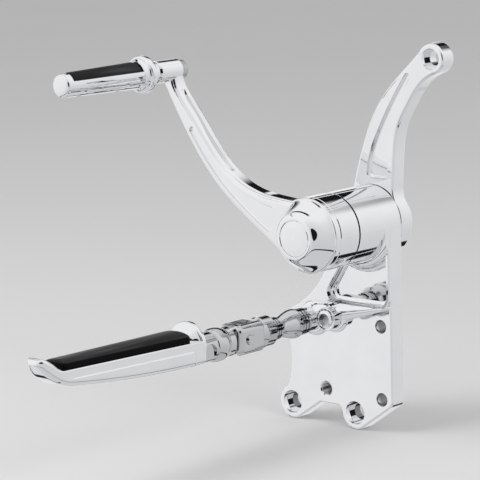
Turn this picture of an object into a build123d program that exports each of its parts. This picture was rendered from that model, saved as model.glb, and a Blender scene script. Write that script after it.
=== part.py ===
# Left-hand motorcycle forward control: a mounting plate that carries the shift lever pivot and the
# folding footpeg. The origin is midway between the two frame bolts, on the face that meets the
# motorcycle. +X points to the rear of the motorcycle, +Y inboard, +Z up. "Out" is a distance in mm
# outboard of the mounting face, so a point at "out" has Y = -out.
import os
from math import asin, atan2, cos, hypot, pi, radians, sin, tan

from build123d import *

os.makedirs("parts", exist_ok=True)

# Running and seating clearances
running_gap = 0.05
seat_gap = 0.02
face_gap = 0.3

# Mounting plate and its lugs
plate_t = 11.0
plate_edge_round = 1.2
lug_spacing = 49.2
lug_r = 10.2
lug_bolt_r = 4.95
lug_head_r = 7.15
lug_head_depth = 6.0
plate_left = 25.0
notch_rise = 2.9
notch_left = -2.3
bottom_slant = 35.4
rear_hole_r = 4.15
rear_hole_spacing = 44.6
rear_hole_rise = 11.0
rear_hole_edge = 7.8
tapped_hole_r = 4.0
tapped_hole_x = 2.6
tapped_hole_z = 12.2

# Pivot barrel, its bushings and the shift shaft
pivot_x = 31.0
pivot_z = 116.4
barrel_r = 22.2
barrel_out = 38.0
barrel_flare = 4.2
shaft_r = 9.525
bush_wall = 3.2
bush_length = 15.0
bush_flange_t = 0.5
bush_flange_r = 18.5
neck_arc_r = 55.3
neck_arc_drop = 5.7
neck_arc_sweep = 63.7

# Pocket in the neck and the bead round it
pocket_depth = 4.6
pocket_floor_round = 3.2
pocket_corner_left = 6.0
pocket_corner_right = 8.0
pocket_bottom_drop = 49.7
pocket_left = 30.5
pocket_slope = 57.0
pocket_right_rim = 2.3
bead_width = 2.6
bead_height = 1.2
bead_round = 0.9

# Footpeg boss, rib and plug boss on the plate
peg_x = -36.0 + pivot_x
peg_z = -61.0 + pivot_z
boss_r = 7.6
boss_out = 24.0
boss_flare = 3.4
rib_r_large = 8.6
rib_r_small = 1.2
rib_drop = 12.6
plug_x = 15.6
plug_z = 2.2
plug_boss_r = 7.2
plug_boss_out = 20.5
plug_boss_flare = 2.4
plug_r = 5.4
plug_dome = 0.9

# Turned footpeg mount with its clevis
spigot_r = 4.6
spigot_length = 14.0
ring_r = 8.2
ring_count = 3
ring_pitch = 2.7
ring_groove = 0.9
ring_depth = 1.0
bell_r = 9.0
bell_waist_r = 5.8
bell_length = 17.0
throat_r = 7.0
throat_length = 6.0
throat_depth = 0.8
collar_r = 9.5
collar_length = 13.0
clevis_length = 21.5
clevis_width = 18.0
clevis_height = 18.4
clevis_corner = 4.2
ear_t = 4.2
pin_r = 3.2
pin_back = 8.6
mount_bolt_r = 3.0
mount_bolt_head_r = 6.5
mount_bolt_head_t = 6.0
clip_t = 0.9
clip_r = 5.2

# Footpeg: stem, tray and rubber
tongue_end_r = 8.2
shoulder_r = 9.3
shoulder_back = 11.6
shoulder_length = 5.0
band_r = 10.2
band_length = 10.5
stub_r = 8.9
stub_length = 15.6
stub_flat = 7.4
tray_length = 124.5
tray_half_width = 13.2
tray_tip_half_width = 9.6
tray_tip_round = 15.0
tray_wall = 2.1
tray_bilge = 4.0
flange_t = 5.0
hoop_r = 13.5
hoop_rise = 4.5
hood_length = 9.5
tray_rim_z = 10.6
tray_keel_drop = 7.2
tip_z = 17.8
tray_recess = 4.6
pad_crown = 2.8
pad_gap = 0.15
pad_start = 9.5
pad_tip_back = 14.5
stem_screw_r = 3.4
stem_screw_head_r = 6.0
stem_screw_head_t = 5.4
pad_screw_r = 1.9
pad_screw_head_r = 3.4
pad_screw_seat = 2.6
pad_screw_start = 24.0
pad_screw_pitch_share = 0.37
pad_screw_rises = (1.0, 4.9)
pad_screw_bite = 4.0
screw_well_length = 9.0
screw_well_top = 10.0
slotted_head_t = 2.2

# Shift lever arm and hub
lever_t = 11.0
arm_out = 51.5
hub_out = 60.5
hub_rise = 11.3
hub_disc_r = 11.4
hub_groove_out = 55.8
eye_x = -105.0
eye_z = 90.7
eye_r = 6.8
eye_boss_out = 72.8
arm_round = 3.4
arm_back_round = 1.2
arm_thinning = 3.0
arm_pocket_depth = 1.5
arm_groove_start = 4.3
arm_groove_width = 3.2
cap_t = 3.0
cap_dome = 0.7
cap_inset = 0.6
end_screw_r = 3.4
end_screw_head_r = 6.4
end_screw_head_t = 5.4
end_screw_length = 18.0
washer_t = 1.6
washer_r = 8.6

# Linkage lever on the inboard end of the shaft
link_gap = 0.7
link_t = 11.3
link_eye_x = 44.8
link_eye_z = 98.8
link_eye_r = 9.2
link_root_round = 12.0
link_hole_r = 4.2
link_counterbore_r = 6.3
link_counterbore_depth = 5.5
link_pocket_depth = 2.6
link_recess = 2.0
key_width = 4.76
key_height = 4.6
key_length = 12.0

# Toe peg
toe_spacer_r = 5.6
toe_flange_out = 80.7
toe_flange_r = 11.2
toe_flange_t = 4.6
toe_cove = 6.0
toe_body_r = 8.1
toe_length = 70.4
toe_tip_round = 2.6
toe_tip_r = 7.1
toe_pad_start = 9.0
toe_pad_tip_back = 4.4
toe_pad_proud = 0.15
toe_pad_seat = 2.7
toe_bolt_r = 3.4
toe_bolt_head_r = 6.2
toe_bolt_head_t = 4.2
toe_bolt_reach = 8.6
toe_groove_r = 0.8
toe_groove_angles = (-14.0, -42.0)
toe_screw_r = 1.4
toe_screw_head_r = 2.8
toe_screw_seat = 2.5
toe_screw_shares = (0.37, 0.82)

# Values that follow from the ones above
bush_r = shaft_r + bush_wall
plate_right = pivot_x + barrel_r
mount_start = boss_out
rings_end = mount_start + ring_count * ring_pitch
bell_end = rings_end + bell_length
throat_end = bell_end + throat_length
collar_end = throat_end + collar_length
clevis_end = collar_end + clevis_length
pin_out = clevis_end - pin_back
slot_width = clevis_width - 2 * ear_t
tongue_t = slot_width - 2 * face_gap
shoulder_out = pin_out + shoulder_back
band_out = shoulder_out + shoulder_length
stub_out = band_out + band_length
tray_out = stub_out + stub_length
hub_face_out = hub_out + hub_rise
hub_start = barrel_out + bush_flange_t + face_gap
hub_seat_out = hub_out + 1.0
cap_r = hub_disc_r - cap_inset
mount_bolt_seat = mount_bolt_head_t + 0.6
clip_x = -(clevis_width + clip_t) / 2 - face_gap
link_seat_out = link_recess - link_gap - link_t
toe_end = toe_flange_out + toe_length
toe_body_start = toe_flange_out + toe_flange_t + toe_cove
toe_taper = (toe_body_r - toe_tip_r) / (toe_end - toe_tip_round - toe_body_start)


def at_pivot(shape):
    """Moves a shape drawn about the lever pivot to its place on the plate."""
    return Pos(pivot_x, 0, pivot_z) * shape


def at_peg(shape):
    """Moves a shape drawn about the footpeg mount's axis to its place."""
    return Pos(peg_x, 0, peg_z) * shape


def facing_out(sketch, start, end):
    """Extrudes a sketch drawn in X and Z from one outboard distance to another."""
    return extrude(Plane.XZ.offset(start) * sketch, end - start)


def turned(*points):
    """Turns a closed outline of (radius, out) points about the Y axis."""
    outline = make_face(Polyline(*[(r, -out) for r, out in points], close=True))
    return revolve(outline, Axis.Y)


def rod(radius, start, end):
    """A round bar along Y between two outboard distances."""
    return facing_out(Circle(radius), start, end)


def ring(outer, inner, start, end):
    """A round bar with a hole through it."""
    return facing_out(Circle(outer) - Circle(inner), start, end)


def flared_foot(radius, flare, base):
    """A concave fillet ring that joins a round boss to the face it stands on."""
    corner = make_face(
        Polyline((radius - 1, -base), (radius + flare, -base))
        + RadiusArc((radius + flare, -base), (radius, -base - flare), flare)
        + Polyline((radius, -base - flare), (radius - 1, -base - flare), (radius - 1, -base))
    )
    return revolve(corner, Axis.Y)


def socket_screw(shank_r, head_r, head_t, under_head, length, toward=1):
    """A socket head screw along Y. The head lies outboard of under_head when toward is 1."""
    head_end = under_head + toward * head_t
    shank_end = under_head - toward * length
    socket_end = head_end - toward * head_t * 0.55
    head = rod(head_r, min(under_head, head_end), max(under_head, head_end))
    head = chamfer(head.edges().filter_by(GeomType.CIRCLE).sort_by_distance((0, -head_end, 0))[0], 0.5)
    shank = rod(shank_r, min(under_head, shank_end), max(under_head, shank_end))
    low, high = sorted((socket_end, head_end))
    recess = facing_out(RegularPolygon(head_r * 0.5, 6), low, high)
    return head + shank - recess


def slotted_screw(shank_r, head_r, under_head, top):
    """A slotted screw that points up, with its head below under_head."""
    shank = Pos(0, 0, (under_head + top) / 2) * Cylinder(shank_r, top - under_head)
    head = Pos(0, 0, under_head - slotted_head_t / 2) * Cylinder(head_r, slotted_head_t)
    slot = Pos(0, 0, under_head - slotted_head_t) * Box(head_r * 0.3, 2 * head_r + 1, slotted_head_t * 0.6)
    return shank + head - slot


def neck_arc():
    """Bottom, middle and top point of the concave arc that runs from the plate into the barrel."""
    apart = neck_arc_r + barrel_r
    lean = asin(neck_arc_drop / apart)
    centre = Vector(pivot_x - apart * cos(lean), pivot_z - neck_arc_drop)
    angles = (radians(-neck_arc_sweep), radians(-neck_arc_sweep / 2), lean)
    return [centre + Vector(neck_arc_r * cos(angle), neck_arc_r * sin(angle)) for angle in angles]


def plate_outline():
    """The plate seen from outboard, with its lugs, notch, neck and the barrel's round top."""
    half = lug_spacing / 2
    slant = radians(bottom_slant)
    tangent_x = half + lug_r * sin(slant)
    tangent_z = -lug_r * cos(slant)
    corner_z = tangent_z + (plate_right - tangent_x) * tan(slant)
    reach = hypot(half + notch_left, notch_rise)
    run = (reach**2 - lug_r**2) ** 0.5
    flank = pi + atan2(notch_rise, half + notch_left) + atan2(lug_r, run)
    touch = (notch_left + run * cos(flank), notch_rise + run * sin(flank))
    pad_top, neck_mid, neck_top = neck_arc()
    pad_side = pad_top - Vector(6.4, 7.7)
    shoulder = pad_top - Vector(5.6, 17.8)
    waist = (-plate_left, 0.55 * shoulder.Y + 1.7)
    heel = (-plate_left - 4.8, 6.0)
    outline = (
        Polyline(neck_top, (pivot_x, pivot_z), (plate_right, pivot_z), (plate_right, corner_z))
        + Polyline((plate_right, corner_z), (tangent_x, tangent_z), (half, 0), (half, notch_rise))
        + Polyline((half, notch_rise), (notch_left, notch_rise), touch, (-half, 0), heel)
        + ThreePointArc(heel, waist, shoulder)
        + ThreePointArc(shoulder, pad_side, pad_top)
        + ThreePointArc(pad_top, neck_mid, neck_top)
    )
    sketch = make_face(outline)
    sketch += Pos(-half, 0) * Circle(lug_r) + Pos(half, 0) * Circle(lug_r)
    rear_corner = (plate_right, corner_z)
    front_corner = (-half - 4.0, lug_r - 1.0)
    notch_corner = (half - lug_r, notch_rise)
    for place, radius in ((rear_corner, 5.0), (front_corner, 7.0), (notch_corner, 3.5)):
        corner = sketch.vertices().sort_by_distance(place)[0]
        sketch = fillet(corner, radius)
    return sketch


def pocket_outline():
    """The pocket between the barrel and the footpeg boss, seen from outboard."""
    slope = radians(pocket_slope)
    top = pivot_z - 8.0
    bottom = pivot_z - pocket_bottom_drop
    left = pivot_x - pocket_left
    right = plate_right - pocket_right_rim
    left_top = left + (top - bottom) * cos(slope) / sin(slope)
    radii = [pocket_corner_left, pocket_corner_left, pocket_corner_right, pocket_corner_right]
    corners = [(left_top, top), (left, bottom), (right, bottom), (right, top)]
    return make_face(FilletPolyline(*corners, radius=radii, close=True))


def bracket():
    """One casting: plate, neck, pivot barrel, footpeg boss with its rib, and the plug boss."""
    plan = plate_outline()
    plate = facing_out(plan, 0, plate_t)
    rim = plate.faces().sort_by(Axis.Y)[0].edges()
    rim = rim.filter_by(lambda edge: hypot(edge.center().X - pivot_x, edge.center().Z - pivot_z) > barrel_r)
    plate = fillet(rim, plate_edge_round)
    reach = facing_out(plan, 0, barrel_out)

    pocket = pocket_outline()
    bead = facing_out(offset(pocket, bead_width) & plan, 1, plate_t + bead_height)
    bead = fillet(bead.faces().sort_by(Axis.Y)[0].edges(), bead_round)

    barrel = at_pivot(rod(barrel_r, 0, barrel_out))
    foot = at_pivot(flared_foot(barrel_r, barrel_flare, plate_t)) & reach
    wall_r = barrel_r + barrel_flare
    floor_out = plate_t - pocket_depth
    wall = rod(wall_r, 0, plate_t) + flared_foot(wall_r, pocket_floor_round, floor_out)
    boss = rod(boss_r, 1, boss_out) + flared_foot(boss_r, boss_flare, plate_t)

    rib_start = Vector(peg_x + 2, -plate_t + 1.5, peg_z + 2.6)
    rib_end = Vector(plate_right, -plate_t + 0.6, peg_z + rib_drop)
    rib_axis = rib_end - rib_start
    rib = Plane(rib_start, z_dir=rib_axis) * Cone(
        rib_r_large, rib_r_small, rib_axis.length, align=(Align.CENTER, Align.CENTER, Align.MIN)
    )
    plug_boss = rod(plug_boss_r, 1, plug_boss_out) + flared_foot(plug_boss_r, plug_boss_flare, plate_t)
    plug_boss = fillet(plug_boss.faces().sort_by(Axis.Y)[0].edges(), 0.7)
    plug_place = Pos(peg_x + plug_x, 0, peg_z + plug_z)

    body = plate + bead + (rib & reach) + at_peg(boss) + plug_place * plug_boss
    cutter = facing_out(pocket, floor_out, plate_t + bead_height + 12)
    body -= fillet(cutter.faces().sort_by(Axis.Y)[-1].edges(), pocket_floor_round)
    body += (at_pivot(wall) & plate) + barrel + foot

    body -= at_pivot(rod(bush_r + seat_gap, -1, barrel_out + 1))
    recess_r = bush_flange_r + face_gap
    body -= at_pivot(ring(recess_r, bush_r, -1, bush_flange_t))
    body -= at_peg(rod(spigot_r + seat_gap, boss_out - spigot_length - 0.5, boss_out + 1))
    body -= at_peg(rod(mount_bolt_r + 0.3, -1, boss_out))
    body -= at_peg(rod(mount_bolt_head_r + 0.4, -1, mount_bolt_seat))
    body -= plug_place * rod(plug_r + seat_gap, plug_boss_out - 8, plug_boss_out + 1)
    for side in (-1, 1):
        lug = Pos(side * lug_spacing / 2, 0, 0)
        body -= lug * rod(lug_bolt_r, -1, plate_t + 1)
        body -= lug * rod(lug_head_r, plate_t - lug_head_depth, plate_t + 1)
    for row in (0, 1):
        place = Pos(plate_right - rear_hole_edge, 0, rear_hole_rise + row * rear_hole_spacing)
        body -= place * rod(rear_hole_r, -1, plate_t + 2)
    tapped = rod(tapped_hole_r, -1, plate_t + 1)
    low, high = plate_t - 0.7, plate_t + 0.1
    mouth = turned((0, low), (tapped_hole_r, low), (tapped_hole_r + high - low, high), (0, high))
    body -= Pos(tapped_hole_x, 0, tapped_hole_z) * (tapped + mouth)
    return body


def bushing(inboard):
    """A flanged bronze bushing. The flange is a thrust face for the lever beside it."""
    start = 0 if inboard else barrel_out - bush_length
    body = ring(bush_r, shaft_r + running_gap, start, start + bush_length)
    flange_start = 0 if inboard else barrel_out
    body += ring(bush_flange_r, shaft_r + running_gap, flange_start, flange_start + bush_flange_t)
    return at_pivot(body)


def blanking_plug():
    """The domed screw-in plug in the boss beside the footpeg mount."""
    start = plug_boss_out - 7
    rim = plug_boss_out + 0.4
    profile = [(0, start), (plug_r, start), (plug_r, rim)]
    profile += [(plug_r * 0.7, rim + plug_dome * 0.9), (0, rim + plug_dome)]
    return Pos(peg_x + plug_x, 0, peg_z + plug_z) * turned(*profile)


def peg_mount():
    """One turned and milled stud: spigot, ringed shoulder, bell, throat, collar and clevis."""
    spigot_start = mount_start - spigot_length
    profile = [(0, spigot_start), (spigot_r, spigot_start), (spigot_r, mount_start)]
    for i in range(ring_count):
        start = mount_start + i * ring_pitch
        profile += [(ring_r, start), (ring_r, start + ring_pitch - ring_groove)]
        groove_r = ring_r - ring_depth
        profile += [(groove_r, start + ring_pitch - ring_groove), (groove_r, start + ring_pitch)]
    steps = 7
    for i in range(steps + 1):
        t = i / steps
        ease = t * t * (3 - 2 * t)
        profile.append((bell_r + (bell_waist_r - bell_r) * ease, rings_end + 0.6 + (bell_length - 1.2) * t))
    groove = throat_length / 3
    for i in range(3):
        start = bell_end + i * groove
        profile += [(throat_r, start), (throat_r, start + groove * 0.62)]
        groove_r = throat_r - throat_depth
        profile += [(groove_r, start + groove * 0.62), (groove_r, start + groove)]
    profile += [(collar_r - 1.6, throat_end), (collar_r, throat_end + 2.2)]
    profile += [(collar_r, collar_end - 3.4), (collar_r - 1.4, collar_end - 0.8)]
    profile += [(collar_r - 1.9, collar_end + 1.0), (0, collar_end + 1.0)]
    body = turned(*profile)

    block = Pos(0, -(collar_end + clevis_end) / 2, 0) * Box(clevis_width, clevis_length, clevis_height)
    block = fillet(block.edges().filter_by(Axis.Y), clevis_corner)
    block = fillet(block.faces().sort_by(Axis.Y)[0].edges(), 3.4)
    block = fillet(block.faces().sort_by(Axis.Y)[-1].edges(), 1.2)
    body += block
    slot_root = pin_out - tongue_end_r - face_gap
    slot_end = clevis_end + 5
    slot = Box(slot_width, slot_end - slot_root, clevis_height + 4)
    body -= Pos(0, -(slot_root + slot_end) / 2, 0) * slot
    body -= Pos(0, -pin_out, 0) * Rot(0, 90, 0) * Cylinder(pin_r, clevis_width + 4)
    body -= rod(mount_bolt_r + seat_gap, spigot_start - 1, rings_end)
    return at_peg(body)


def mount_bolt():
    """The socket head bolt that pulls the footpeg mount into its boss from the inboard side."""
    size = (mount_bolt_r, mount_bolt_head_r, mount_bolt_head_t)
    return at_peg(socket_screw(*size, mount_bolt_seat, rings_end - 1.0 - mount_bolt_seat, -1))


def clevis_pin():
    """The fore and aft pin that the footpeg folds about, with a low domed rear end."""
    length = clevis_width + 2.6
    pin = Cylinder(pin_r - seat_gap, length)
    pin = chamfer(pin.edges().sort_by(Axis.Z)[-1], 0.4)
    pin -= Pos(0, 0, clip_x) * (Cylinder(pin_r + 1, clip_t) - Cylinder(pin_r - 0.7, clip_t))
    return at_peg(Pos(0, -pin_out, 0) * Rot(0, 90, 0) * pin)


def pin_clip():
    """The E-clip on the front end of the pin: a spring ring with one open side."""
    body = Cylinder(clip_r, clip_t - 0.1) - Cylinder(pin_r - 0.65, clip_t)
    body -= Pos(0, -clip_r, 0) * Box(pin_r * 1.5, 2 * clip_r, clip_t)
    return at_peg(Pos(clip_x, -pin_out, 0) * Rot(0, 90, 0) * body)


def footpeg_stem():
    """Tongue, shoulder, crowned band and the flatted stub that enters the tray."""
    tongue = Pos(0, -pin_out, 0) * Rot(0, 90, 0) * Cylinder(tongue_end_r, tongue_t)
    web = Box(tongue_t, shoulder_back + 0.4, 2 * tongue_end_r - 1.4)
    tongue += Pos(0, -(pin_out + shoulder_out) / 2, 0) * web
    profile = [(0, shoulder_out), (shoulder_r - 0.8, shoulder_out)]
    profile += [(shoulder_r, shoulder_out + 0.8), (shoulder_r, band_out)]
    steps = 6
    for i in range(steps + 1):
        t = -1 + 2 * i / steps
        profile.append((band_r - 0.9 * t * t, band_out + band_length * (t + 1) / 2))
    profile += [(stub_r, stub_out + 0.3), (stub_r, tray_out), (0, tray_out)]
    body = tongue + turned(*profile)
    for side in (-1, 1):
        body -= Pos(side * (stub_flat + 3), -(stub_out + 7.2), -1.5) * Rot(0, 90, 0) * Cylinder(5.2, 6)
    body -= Pos(0, -pin_out, 0) * Rot(0, 90, 0) * Cylinder(pin_r + running_gap, tongue_t + 2)
    body -= rod(stem_screw_r + seat_gap, stub_out, tray_out + 1)
    return at_peg(body)


def tray_plan():
    """The tray seen from above: straight sides that converge to a rounded tip."""
    near = (tray_half_width, -tray_out)
    far = (tray_tip_half_width, -(tray_out + tray_length - tray_tip_round))
    tip = (0, -(tray_out + tray_length))
    outline = Polyline((-far[0], far[1]), (-near[0], near[1]), near, far)
    return make_face(outline + ThreePointArc(far, tip, (-far[0], far[1])))


def tray_side():
    """The tray seen from its rear: a keel that rises into the curled tip, and the sloping rim."""
    end = -(tray_out + tray_length)
    keel = Spline(
        (-tray_out, -tray_keel_drop),
        (-tray_out - 0.27 * tray_length, -tray_keel_drop + 1.2),
        (-tray_out - 0.58 * tray_length, -tray_keel_drop + 4.2),
        (-tray_out - 0.8 * tray_length, -tray_keel_drop + 8.4),
        (end + 9, tip_z - 10.6),
        (end + 2.4, tip_z - 4.8),
        (end, tip_z - 1.2),
    )
    lip_end = (end + 3.4, tip_z - 0.4)
    curl_end = (end + 16, tip_z - 5.4)
    lip = ThreePointArc((end, tip_z - 1.2), (end + 1.4, tip_z + 0.1), lip_end)
    inner = Spline(lip_end, (end + 6.2, tip_z - 3.2), (end + 10, tip_z - 4.8), curl_end)
    rim = Polyline(curl_end, (-tray_out, tray_rim_z), (-tray_out, -tray_keel_drop))
    return make_face(keel + lip + inner + rim)


def along_x(sketch, half):
    """Extrudes a sketch drawn in Y and Z to both sides of the peg's middle plane."""
    return extrude(Plane.YZ * sketch, half, both=True)


def hull_section(share, lift):
    """A round-bottomed cross-section of the hull, at a share of the tray's length."""
    half = tray_half_width + (tray_tip_half_width - tray_half_width) * share
    keel = lift - tray_keel_drop
    top = tip_z + 6
    corners = [(-half, top), (-half, keel), (half, keel), (half, top)]
    outline = FilletPolyline(*corners, radius=[0.1, tray_bilge, tray_bilge, 0.1], close=True)
    return Plane.XZ.offset(tray_out + share * tray_length) * make_face(outline)


def tray_shell():
    """The solid tray form: hull, round flange and the hood that rises over the rubber's end."""
    stations = ((0, 0), (0.3, 1.3), (0.6, 4.2), (0.82, 9.0), (1.0, 14.5))
    hull = loft([hull_section(share, lift) for share, lift in stations])
    hull &= along_x(tray_side(), 2 * tray_half_width)
    hull &= Pos(0, 0, -2 * tip_z) * extrude(tray_plan(), 4 * tip_z)
    hood = Pos(0, 0, hoop_rise) * rod(hoop_r, tray_out, tray_out + hood_length)
    near = -tray_out - flange_t
    far = -tray_out - hood_length
    past = far - flange_t
    crown = hoop_rise + hoop_r
    slope = [(near, -crown), (near, tray_rim_z - 1), (far, crown), (past, crown), (past, -crown)]
    return hull + (hood - along_x(make_face(Polyline(*slope, close=True)), 2 * hoop_r))


def pad_plan(shrink):
    """The rubber's outline seen from above, rounded at both ends."""
    wide = tray_half_width - tray_wall - shrink
    narrow = tray_tip_half_width + 0.6 - tray_wall - shrink
    start = -(tray_out + pad_start + shrink)
    end = -(tray_out + tray_length - pad_tip_back - shrink)
    corners = [(-wide, start), (wide, start), (narrow, end), (-narrow, end)]
    return make_face(FilletPolyline(*corners, radius=[4.0, 4.0, 5.0, 5.0], close=True))


def pad_screw_places():
    """Outboard distance and keel height at each of the rubber's two screws."""
    first = tray_out + pad_start + pad_screw_start
    outs = (first, first + pad_screw_pitch_share * tray_length)
    return [(out, rise - tray_keel_drop) for out, rise in zip(outs, pad_screw_rises)]


def footpeg_tray():
    """The chromed casting that holds the footpeg's rubber."""
    shell = tray_shell()
    floor = tray_rim_z - tray_recess
    shell -= Pos(0, 0, floor) * extrude(pad_plan(0), tip_z)
    well_r = stem_screw_head_r + 0.4
    well_start = tray_out + flange_t
    shell -= rod(stem_screw_r + 0.2, tray_out - 1, well_start + 1)
    shell -= rod(well_r, well_start, well_start + screw_well_length)
    well = Box(2 * well_r, screw_well_length, screw_well_top)
    shell -= Pos(0, -(well_start + screw_well_length / 2), screw_well_top / 2) * well
    for out, keel in pad_screw_places():
        shell -= Pos(0, -out, 0) * Cylinder(pad_screw_r + 0.2, 3 * tip_z)
        head_hole = Cylinder(pad_screw_head_r + 0.2, 2 * (pad_screw_seat + tray_keel_drop))
        shell -= Pos(0, -out, keel - tray_keel_drop) * head_hole
    return at_peg(shell)


def footpeg_rubber():
    """The crowned rubber pad that fills the tray's recess."""
    floor = tray_rim_z - tray_recess
    start = -(tray_out + pad_start - 1)
    end = -(tray_out + tray_length - pad_tip_back + 1)
    top = tray_rim_z + pad_crown
    side = Polyline((start, floor), (start, top), (end, top + 1.9), (end, floor), close=True)
    body = (Pos(0, 0, floor) * extrude(pad_plan(pad_gap), tip_z)) & along_x(make_face(side), tip_z)
    body = fillet(body.faces().sort_by(Axis.Z)[-1].edges(), pad_crown - 0.6)
    for out, _ in pad_screw_places():
        body -= Pos(0, -out, floor) * Cylinder(pad_screw_r + seat_gap, 9)
    return at_peg(body)


def footpeg_rubber_screws():
    """Two screws that hold the rubber down from below the tray."""
    screws = []
    top = tray_rim_z - tray_recess + pad_screw_bite
    for out, keel in pad_screw_places():
        screw = slotted_screw(pad_screw_r, pad_screw_head_r, keel + pad_screw_seat, top)
        screws.append(Pos(0, -out, 0) * screw)
    return at_peg(Compound(children=screws))


def stem_screw():
    """The socket head screw that clamps the tray to the stem, hidden under the rubber."""
    under_head = tray_out + flange_t + seat_gap
    length = under_head - stub_out - 1.5
    return at_peg(socket_screw(stem_screw_r, stem_screw_head_r, stem_screw_head_t, under_head, length))


def toward_eye(eye, *shares):
    """Points given as shares of the way across and up to a lever's eye."""
    return [(eye[0] * across, eye[1] * up) for across, up in shares]


def arm_outline():
    """The shift lever's arm about the pivot, from the hub to the toe peg eye."""
    eye = (eye_x, eye_z)
    root_low = (-barrel_r * 0.58, -barrel_r * 0.74)
    root_high = (barrel_r * 0.1, barrel_r * 0.84)
    tip_low = (eye_x - eye_r * 0.87, eye_z - eye_r * 0.44)
    tip_high = (eye_x + eye_r * 0.91, eye_z + eye_r * 0.32)
    run_low = toward_eye(eye, (0.295, -0.038), (0.608, 0.229), (0.862, 0.584), (0.965, 0.778))
    run_high = toward_eye(
        eye, (0.937, 0.928), (0.842, 0.760), (0.611, 0.431), (0.421, 0.283), (0.197, 0.228)
    )
    lower = Spline(root_low, *run_low, tip_low)
    tip = ThreePointArc(tip_low, (eye_x - eye_r * 0.37, eye_z + eye_r * 0.9), tip_high)
    upper = Spline(tip_high, *run_high, root_high)
    return make_face(lower + tip + upper + Polyline(root_high, (0, 0), root_low))


def arm_pocket():
    """The soft recess on the arm's outboard face, wide at the hub and closing towards the eye."""
    eye = (eye_x, eye_z)
    upper = toward_eye(
        eye, (0.797, 0.634), (0.669, 0.442), (0.498, 0.279), (0.378, 0.215), (0.234, 0.168)
    )
    lower = toward_eye(
        eye, (0.272, 0.004), (0.438, 0.134), (0.606, 0.293), (0.730, 0.451), (0.831, 0.608)
    )
    end = Spline(upper[-1], *toward_eye(eye, (0.196, 0.103), (0.225, 0.026)), lower[0])
    tip = ThreePointArc(lower[-1], *toward_eye(eye, (0.826, 0.641)), upper[0])
    return make_face(Spline(*upper) + end + Spline(*lower) + tip)


def arm_groove():
    """The shallow groove in the arm's upper edge, running out at both ends."""
    eye = (eye_x, eye_z)
    near_eye = toward_eye(eye, (0.910, 0.941), (0.920, 0.880), (0.850, 0.754))
    floor = near_eye + toward_eye(eye, (0.739, 0.578), (0.618, 0.422), (0.476, 0.338))
    corner = (floor[-1][0], floor[0][1])
    return make_face(Spline(*floor) + Polyline(floor[-1], corner, floor[0]))


def rim_edges(face):
    """The edges of a lever's face that lie outside its hub."""
    return face.edges().filter_by(lambda edge: hypot(edge.center().X, edge.center().Z) > barrel_r)


def key_places():
    """The middle's outboard distance and the length of each of the two keys."""
    return (hub_start + 2 + key_length / 2, key_length), (-(link_gap + link_t / 2), link_t - 4.0)


def keyway(place, length):
    """The slot for a key, cut half into the shaft and half into the lever on it."""
    return Pos(0, -place, shaft_r + 0.1) * Box(key_width + 0.1, length + 0.2, key_height + 0.4)


def outer_lever():
    """The forged shift lever: hub, domed face, arm and the boss for the toe peg."""
    arm_face = arm_out + lever_t
    arm = facing_out(arm_outline(), arm_out, arm_face)
    arm = fillet(rim_edges(arm.faces().sort_by(Axis.Y)[0]), arm_round)
    arm = fillet(rim_edges(arm.faces().sort_by(Axis.Y)[-1]), arm_back_round)
    thin_out = arm_out + arm_thinning
    start = eye_z * 0.68
    top = eye_z + 3 * eye_r
    behind = 1 - arm_out
    thinning = [(behind, start), (-arm_out, start), (-thin_out, eye_z), (-thin_out, top), (behind, top)]
    arm -= along_x(make_face(Polyline(*thinning, close=True)), -2 * eye_x)

    eye = rod(eye_r, thin_out, eye_boss_out)
    eye = chamfer(eye.faces().sort_by(Axis.Y)[0].edges(), 0.5)

    face = [(0, hub_start), (barrel_r - 0.5, hub_start), (barrel_r, hub_start + 0.5)]
    face += [(barrel_r, hub_groove_out - 0.4), (barrel_r - 0.5, hub_groove_out)]
    face += [(barrel_r, hub_groove_out + 0.4), (barrel_r, hub_out - 1.0)]
    steps = 6
    for i in range(steps + 1):
        t = i / steps
        radius = barrel_r - 1.0 + (hub_disc_r - barrel_r + 1.0) * t
        face.append((radius, hub_out + hub_rise * sin(radians(90 * t)) ** 1.15))
    face.append((0, hub_face_out))
    body = arm + turned(*face) + Pos(eye_x, 0, eye_z) * eye

    pocket = facing_out(arm_pocket(), arm_face - arm_pocket_depth, arm_face + 2)
    body -= fillet(pocket.faces().sort_by(Axis.Y)[-1].edges(), 1.2)
    groove_out = arm_out + arm_groove_start
    body -= facing_out(arm_groove(), groove_out, groove_out + arm_groove_width)
    body -= rod(shaft_r + seat_gap, hub_start - 1, hub_seat_out)
    body -= rod(washer_r + 0.2, hub_seat_out - 0.1, hub_face_out - cap_t)
    body -= rod(cap_r + seat_gap, hub_face_out - cap_t, hub_face_out + 1)
    eye_bore = rod(toe_bolt_r + 0.15, arm_out - 1, eye_boss_out + 1)
    body -= Pos(eye_x, 0, eye_z) * (eye_bore + rod(toe_bolt_head_r + 0.6, arm_out - 1, thin_out))
    return at_pivot(body - keyway(*key_places()[0]))


def hub_cap():
    """The flat chrome disc that snaps into the hub and hides its screw."""
    start = hub_face_out - cap_t
    profile = [(0, start), (cap_r, start), (cap_r, hub_face_out - 0.5), (cap_r - 0.5, hub_face_out)]
    profile += [(cap_r * 0.6, hub_face_out + cap_dome * 0.7), (0, hub_face_out + cap_dome)]
    return at_pivot(turned(*profile))


def shift_shaft():
    """The shaft that joins both levers, drilled and tapped at each end, with two keyways."""
    end = hub_out - 1.0
    drill = end_screw_length + 2.0
    body = rod(shaft_r, link_seat_out, end)
    body -= rod(end_screw_r + seat_gap, end - drill, end + 1)
    body -= rod(end_screw_r + seat_gap, link_seat_out - 1, link_seat_out + drill)
    for place, length in key_places():
        body -= keyway(place, length)
    return at_pivot(body)


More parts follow.
